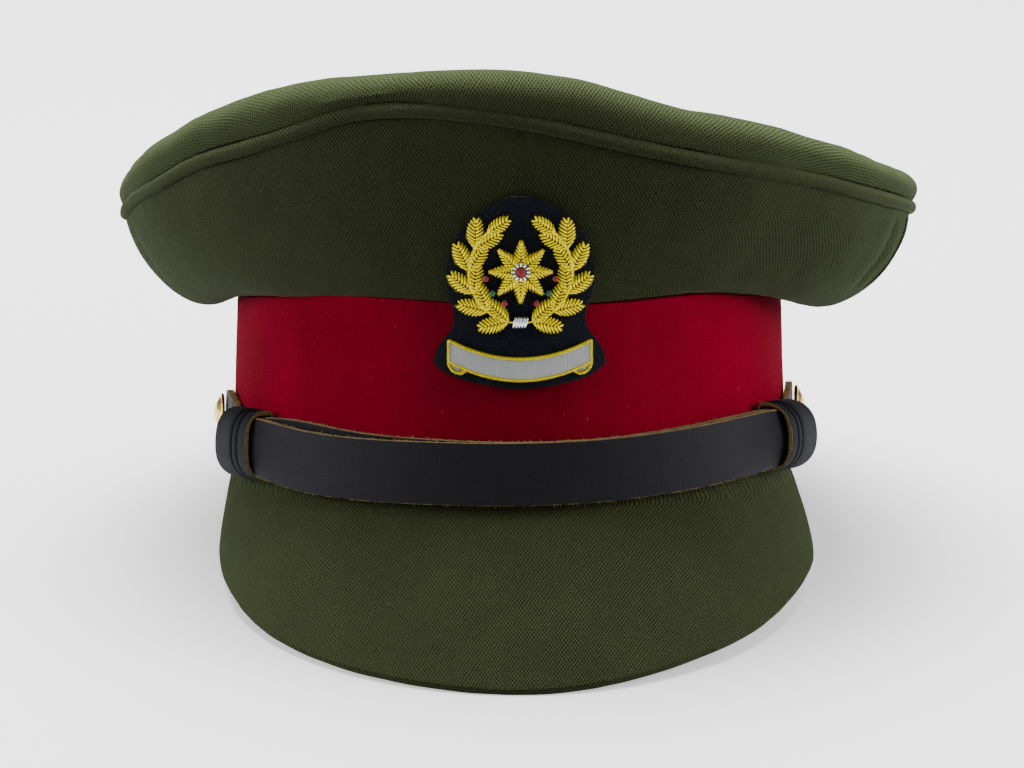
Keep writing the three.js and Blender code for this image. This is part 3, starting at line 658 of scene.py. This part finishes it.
# Each loop's side, its first and last edge in degrees, its middle height, the places of its lines from
# its front edge, and how far its middle is filled out and its upper and lower corners drawn in.
loops = (
    ("keeper_left", -1, 54.8, 67.0, 0.0135, (0.24, 0.4), (0.0, 0.0006, 0.002)),
    ("keeper_right", 1, 55.6, 68.5, 0.0155, (0.2, 0.34), (0.0009, 0.0012, 0.0014)),
)
for loop, side, first, last, height, lines, roundness in loops:
    piece = cut_from(loop, loop + "_leather")
    round_off(piece, height, *roundness)
    middle, along = round_place(side * (first + last) / 2, height, 0.0047)
    for share in lines:
        press_line(piece, side * (first + share * (last - first)), 0.0005, middle)
    soften(piece, 0.00035, 2)
    mark_raw(piece, lambda face: abs(face.normal.dot(along)) > 0.62)
    dress(piece, loop, "leather", loop_leather_painted_shade_and_sheen)
    fray(piece, loop + "_fray", 60, side + 20)

# Side buttons
# Small buttons of gilt brass with a domed face and a plain rim. One sits on the end of each strap and
# holds it to the band.


def gilt():
    finish = Finish("gilt", Metallic=1.0)
    wear = finish.grain(0.0012, 4.0)
    colour = finish.blend(wear.over(0.3, 0.7), (0.62, 0.38, 0.07, 1), (0.83, 0.6, 0.19, 1))
    return finish.paint(Base_Color=colour, Roughness=wear * 0.2 + 0.12)


polished = gilt()
for name in ("button_left", "button_right"):
    piece = cut_from(name, name + "_gilt")
    soften(piece, 0.00015, 2)
    dress(piece, name, "gilt", polished)

# Badge's felt
# A patch of navy felt, cut round the embroidery: arched above, narrow at the waist and wide under the
# scroll. It is sewn over the seam between the band and the crown.


def navy_felt():
    finish = Finish("navy felt", Roughness=0.97, Sheen_Weight=0.25, Sheen_Roughness=0.5)
    finish.surface.inputs["Specular IOR Level"].default_value = 0.1
    nap = finish.grain(0.0006, 4.0)
    colour = finish.blend(nap.over(0.3, 0.75), (0.0022, 0.0035, 0.0075, 1), (0.011, 0.017, 0.03, 1))
    return finish.paint(Base_Color=colour, Normal=finish.relief(nap, 0.0003))


felt = cut_from("badge_felt", "badge_felt_patch")
soften(felt, 0.0005, 2)
rumple(felt, 0.0, 0.00015)
dress(felt, "badge_felt", "felt", navy_felt())

# Wreath and star
# Short lengths of coiled gold wire over a padding of yellow thread, laid slantwise from the middle of
# each leaf and each ray to its edges. Two rows of coils make each stem. Knots of coloured silk stand
# beside the stems, and silver stitches round the star's heart and where the stems are tied.

front = standing.to_3x3() @ Vector((0, 1, 0))
packed_felt = nodes["badge_felt"].data
felt_face = BVHTree.FromPolygons(
    [point.co for point in packed_felt.vertices], [face.vertices for face in packed_felt.polygons]
)


def on_felt(x, z, lift):
    """A place in front of the felt, at a distance across and up the upright cap, in millimetres.

    A place beside the felt is moved in to its edge.
    """
    for share in range(100, 60, -1):
        start = standing @ Vector((x * share / 100000, -0.2, z / 1000))
        spot = felt_face.ray_cast(start, front)[0]
        if spot:
            return spot - front * lift / 1000
    return felt_face.find_nearest(start + 0.098 * front)[0] - front * lift / 1000


def make_coil():
    """One length of coiled wire: a six-sided rod with rounded ends, one unit long."""
    bpy.ops.object.select_all(action="DESELECT")
    bpy.ops.mesh.primitive_cylinder_add(vertices=6, radius=1, depth=1, end_fill_type="NGON")
    rod = bpy.context.object
    bpy.ops.object.mode_set(mode="EDIT")
    for cut in (-0.36, -0.12, 0.12, 0.36):
        bpy.ops.mesh.select_all(action="SELECT")
        bpy.ops.mesh.bisect(plane_co=(0, 0, cut), plane_no=(0, 0, 1))
    bpy.ops.object.mode_set(mode="OBJECT")
    for vertex in rod.data.vertices:
        if abs(vertex.co.z) > 0.49:
            vertex.co.x *= 0.55
            vertex.co.y *= 0.55
    mesh = rod.data
    bpy.data.objects.remove(rod)
    return mesh


coil = make_coil()


def lay_coil(bundle, start, end, radius, arch):
    """Adds a coil between two places, bowed towards the front."""
    first = len(bundle.verts)
    bundle.from_mesh(coil)
    bundle.verts.ensure_lookup_table()
    way = (end - start).normalized()
    side = way.cross(front).normalized()
    rise = side.cross(way).normalized()
    if rise.dot(front) > 0:
        rise = -rise
    for vertex in bundle.verts[first:]:
        share = vertex.co.z + 0.5
        lift = arch * (1 - (2 * share - 1) ** 2)
        middle = start.lerp(end, share) + rise * lift
        vertex.co = middle + radius * (vertex.co.x * side + vertex.co.y * rise)


def lay_pad(bundle, foot, heading, length, width, outline, rows):
    """Lays coils in two slanted rows along a leaf or a ray. Its outline gives half widths along it."""
    along = Vector((math.sin(heading), math.cos(heading)))
    aside = Vector((along.y, -along.x))
    for row in range(rows):
        share = (row + 0.5) / rows
        position = share * (len(outline) - 1)
        low = min(int(position), len(outline) - 2)
        half = width / 2 * (outline[low] + (outline[low + 1] - outline[low]) * (position - low))
        inner = foot + along * length * max(share - 0.13, 0.01)
        for side in (-1, 1):
            outer = foot + along * length * min(share + 0.07, 1.0) + aside * side * half
            start = on_felt(inner.x, inner.y, 1.65)
            end = on_felt(outer.x, outer.y, 0.75)
            lay_coil(bundle, start, end, 0.00036, 0.0003)


def finish_bundle(bundle, name, node, slot, *finishes):
    mesh = bpy.data.meshes.new(name)
    bundle.to_mesh(mesh)
    bundle.free()
    piece = bpy.data.objects.new(name, mesh)
    bpy.context.collection.objects.link(piece)
    activate(piece)
    bpy.ops.object.mode_set(mode="EDIT")
    bpy.ops.mesh.select_all(action="SELECT")
    bpy.ops.mesh.normals_make_consistent(inside=False)
    bpy.ops.object.mode_set(mode="OBJECT")
    bpy.ops.object.shade_smooth()
    dress(piece, node, slot, *finishes)
    return piece


def gold_wire():
    """Coiled gold wire: bright and yellow, with a fine glitter and darker gaps."""
    finish = Finish("gold wire", Metallic=0.6)
    finish.surface.inputs["Specular Tint"].default_value = (1.0, 0.85, 0.02, 1)
    glitter = finish.grain(0.0004, 2.0)
    tarnish = finish.grain(0.004, 3.0)
    bright = finish.blend(glitter.over(0.3, 0.7), (0.55, 0.44, 0.0, 1), (1.0, 0.86, 0.0, 1))
    colour = finish.blend(tarnish.over(0.55, 0.8) * 0.4, bright, (0.36, 0.22, 0.0, 1))
    sparkle = finish.relief(glitter, 0.0001)
    return finish.paint(Base_Color=colour, Roughness=glitter * 0.25 + 0.25, Normal=sparkle)


def yellow_thread():
    finish = Finish("yellow padding thread", Roughness=0.9)
    colour = finish.blend(finish.grain(0.0008, 2.0), (0.09, 0.065, 0.002, 1), (0.26, 0.2, 0.006, 1))
    return finish.paint(Base_Color=colour)


wire = gold_wire()
padding = yellow_thread()
wreath_centre, wreath_radius = Vector((0, 66.5)), 14.4
leaf_outline = (0.3, 0.85, 1.0, 0.95, 0.75, 0.25)


def round_wreath(radius, side, turn):
    """A place round the wreath's centre, by its turn in degrees from the foot."""
    swing = math.radians(turn)
    return wreath_centre + radius * Vector((side * math.sin(swing), -math.cos(swing)))


def on_stem(side, turn):
    return round_wreath(wreath_radius, side, turn)


for name, side in (("badge_spray_left", -1), ("badge_spray_right", 1)):
    base = cut_from(name, name + "_padding")
    bpy.ops.object.shade_smooth()
    push(base, lambda spot, normal: -0.0003)
    dress(base, name, "bullion", padding)
    spray = bmesh.new()
    for turn in (14, 40, 66, 92, 118):
        for lean in (-27, 31):
            heading = side * math.radians(90 - turn - lean)
            lay_pad(spray, on_stem(side, turn), heading, 8.6, 4.9, leaf_outline, 9)
    lay_pad(spray, on_stem(side, 140), side * math.radians(-56), 7.2, 4.2, leaf_outline, 8)
    for turn in range(4, 142, 4):
        start, end = on_stem(side, turn), on_stem(side, turn + 5)
        for shift in (-0.28, 0.28):
            first = on_felt(start.x + shift, start.y, 1.3)
            last = on_felt(end.x - shift, end.y, 1.5)
            lay_coil(spray, first, last, 0.0003, 0.0003)
    finish_bundle(spray, name + "_wire", name, "bullion", wire)

base = cut_from("badge_star", "badge_star_padding")
dress(base, "badge_star", "bullion", padding)
star = bmesh.new()
for ray in range(8):
    lay_pad(star, wreath_centre, math.radians(45 * ray), 9.0, 5.6, (0.35, 1.0, 0.72, 0.4, 0.05), 10)
finish_bundle(star, "badge_star_wire", "badge_star", "bullion", wire)


def silk(name, light, dark):
    """Short stitches of coloured silk."""
    finish = Finish(name, Roughness=0.6, Sheen_Weight=0.2)
    return finish.paint(Base_Color=finish.blend(finish.grain(0.0006, 2.0), dark, light))


def knot(bundle, x, z, radius):
    """A small round knot of silk, stitched over itself."""
    first = len(bundle.verts)
    bmesh.ops.create_icosphere(bundle, subdivisions=2, radius=radius)
    bundle.verts.ensure_lookup_table()
    middle = on_felt(x, z, 1.9)
    for vertex in bundle.verts[first:]:
        ripple = 1 + 0.12 * math.sin(11 * math.atan2(vertex.co.z, vertex.co.x))
        vertex.co = middle + ripple * vertex.co


red_silk = silk("red silk", (0.5, 0.02, 0.02, 1), (0.2, 0.005, 0.01, 1))
green_silk = silk("green silk", (0.01, 0.2, 0.06, 1), (0.003, 0.07, 0.02, 1))
silver = Finish("silver wire", Metallic=0.8, Roughness=0.35)
silver.surface.inputs["Base Color"].default_value = (0.8, 0.82, 0.84, 1)

berry_ring, berry_radius = 9.9, 0.00085
for name, node, silk_thread, turns in (
    ("red_berries", "badge_spray_left", red_silk, (27, 79)),
    ("green_berries", "badge_spray_right", green_silk, (53,)),
):
    berries = bmesh.new()
    for side in (-1, 1):
        for turn in turns:
            berry = round_wreath(berry_ring, side, turn)
            knot(berries, berry.x, berry.y, berry_radius)
    finish_bundle(berries, name, node, "bullion", silk_thread)
heart = bmesh.new()
knot(heart, wreath_centre.x, wreath_centre.y, 0.0015)
finish_bundle(heart, "star_heart", "badge_star", "bullion", red_silk)
tie = bmesh.new()
for shift in (-1.6, -0.8, 0, 0.8, 1.6):
    lay_coil(tie, on_felt(shift - 0.4, 50.6, 1.2), on_felt(shift + 0.4, 53.8, 1.2), 0.0004, 0.0006)
for ray in range(12):
    turn = math.radians(30 * ray)
    near = wreath_centre + 1.5 * Vector((math.sin(turn), math.cos(turn)))
    far = wreath_centre + 2.7 * Vector((math.sin(turn), math.cos(turn)))
    lay_coil(tie, on_felt(near.x, near.y, 2.6), on_felt(far.x, far.y, 2.3), 0.00034, 0.0001)
finish_bundle(tie, "silver_stitches", "badge_star", "bullion", silver.material)

# Scroll
# A ribbon of pale satin stitch under the wreath, left bare, with a border of twisted gold cord and a
# small curled tail at each end.


def satin():
    """Silk threads laid straight up and down, side by side."""
    finish = Finish("pale satin stitch", Sheen_Weight=0.3)
    place = finish.node("ShaderNodeTexCoord", {}, {}, "Object")
    across = finish.node("ShaderNodeSeparateXYZ", {}, {0: place}, "X")
    threads = (across + finish.grain(0.003) * 0.0002).wave(0.00042) * 0.5 + 0.5
    soil = finish.grain(0.004, 3.0)
    clean = finish.blend(threads, (0.46, 0.5, 0.5, 1), (0.8, 0.86, 0.85, 1))
    colour = finish.blend(soil.over(0.5, 0.8) * 0.35, clean, (0.42, 0.44, 0.4, 1))
    ribs = finish.relief(threads, 0.0001)
    return finish.paint(Base_Color=colour, Roughness=threads * 0.15 + 0.4, Normal=ribs)


ribbon_satin = satin()
ribbon = cut_from("badge_scroll", "badge_scroll_satin")
soften(ribbon, 0.0002, 2)
dress(ribbon, "badge_scroll", "satin", ribbon_satin)


def scroll_middle(x):
    """The height of the ribbon's middle at a distance across, in millimetres."""
    return 38.9 + 4.9 * (x / 19.4) ** 2


def twist(bundle, path, radius, pitch):
    """Lays two strands round a path, each a thin tube that winds about it."""
    lengths = [0.0]
    for a, b in zip(path, path[1:]):
        lengths.append(lengths[-1] + (b - a).length)
    steps = int(lengths[-1] / pitch * 7)
    for first_turn in (0, 0.5):
        rings = []
        i = 0
        for step in range(steps + 1):
            length = lengths[-1] * step / steps
            while i < len(path) - 2 and lengths[i + 1] < length:
                i += 1
            share = (length - lengths[i]) / (lengths[i + 1] - lengths[i])
            middle = path[i].lerp(path[i + 1], share)
            way = (path[i + 1] - path[i]).normalized()
            side = way.cross(front).normalized()
            turn = 2 * math.pi * (length / pitch + first_turn)
            centre = middle + radius * 0.55 * (math.cos(turn) * side - math.sin(turn) * front)
            ring = []
            for corner in range(5):
                swing = 2 * math.pi * corner / 5
                offset = math.cos(swing) * side + math.sin(swing) * front
                ring.append(bundle.verts.new(centre + radius * 0.62 * offset))
            rings.append(ring)
        for near, far in zip(rings, rings[1:]):
            for k in range(5):
                bundle.faces.new((near[k], near[(k + 1) % 5], far[(k + 1) % 5], far[k]))
        bundle.faces.new(rings[0])
        bundle.faces.new(list(reversed(rings[-1])))


border = bmesh.new()
reach, ribbon_half, border_lift = 20.0, 3.0, 1.3
across = [reach * (2 * i / 40 - 1) for i in range(41)]
upper = [on_felt(x, scroll_middle(x) + ribbon_half, border_lift) for x in across]
lower = [on_felt(x, scroll_middle(x) - ribbon_half, border_lift) for x in reversed(across)]
twist(border, [*upper, *lower, upper[0]], 0.00052, 0.0013)
tail = ((20.1, 40.9), (19.9, 39.9), (19.2, 38.8), (18.0, 38.0), (16.7, 37.8), (15.6, 38.3), (15.1, 39.2))
curls = bmesh.new()
for side in (-1, 1):
    twist(border, [on_felt(side * x, z, 1.0) for x, z in tail], 0.00048, 0.0013)
    faces = [[curls.verts.new(on_felt(side * x, z, lift)) for x, z in tail] for lift in (0.2, 0.9)]
    count = len(tail)
    curls.faces.new(faces[0])
    curls.faces.new(list(reversed(faces[1])))
    for k in range(count):
        m = (k + 1) % count
        curls.faces.new((faces[0][k], faces[1][k], faces[1][m], faces[0][m]))
finish_bundle(curls, "badge_scroll_curls", "badge_scroll", "satin", ribbon_satin)
finish_bundle(border, "badge_scroll_border", "badge_scroll", "bullion", wire)

# Studio
# A plain pale floor, soft light from large lamps, and a camera at the photograph's angle.


def pale():
    finish = Finish("pale floor", Roughness=0.9)
    finish.surface.inputs["Base Color"].default_value = (0.97, 0.97, 0.97, 1)
    finish.surface.inputs["Emission Color"].default_value = (1, 1, 1, 1)
    finish.surface.inputs["Emission Strength"].default_value = 0.6
    return finish.material


bpy.ops.object.select_all(action="DESELECT")
bpy.ops.mesh.primitive_plane_add(size=30, location=(0, 0, 0))
floor = bpy.context.object
floor.name = "floor"
floor.data.materials.append(pale())
floor.visible_diffuse = False


def hang_lamp(name, place, size, power):
    """A square lamp that faces the cap."""
    lamp = bpy.data.lights.new(name, "AREA")
    lamp.size = size
    lamp.energy = power
    holder = bpy.data.objects.new(name, lamp)
    holder.location = place
    holder.rotation_euler = (Vector((0, 0, 0.07)) - Vector(place)).to_track_quat("-Z", "Y").to_euler()
    bpy.context.collection.objects.link(holder)


hang_lamp("overhead", (-0.1, 0.75, 2.1), 1.5, 130)
hang_lamp("left", (-1.9, -0.1, 0.75), 1.0, 22)
hang_lamp("right", (1.9, -0.2, 0.75), 1.0, 27)
world = bpy.data.worlds.new("soft surroundings")
world.use_nodes = True
world.node_tree.nodes["Background"].inputs["Color"].default_value = (1, 1, 1, 1)
world.node_tree.nodes["Background"].inputs["Strength"].default_value = 0.29
bpy.context.scene.world = world

distance, aside = 1.1, 0.00093
aim = standing @ Vector((0, 0, 0.0273))
look = standing.to_3x3() @ Vector((0.02960, 0.99713, -0.06976))
right = look.cross(cap_up).normalized()
camera = bpy.data.objects.new("camera", bpy.data.cameras.new("camera"))
camera.data.lens = 124.14
camera.data.clip_end = 60
spot = aim + aside * right - distance * look
facing = Matrix((right, right.cross(look), -look)).transposed().to_4x4()
camera.matrix_world = Matrix.Translation(spot) @ facing
bpy.context.collection.objects.link(camera)
bpy.context.scene.camera = camera
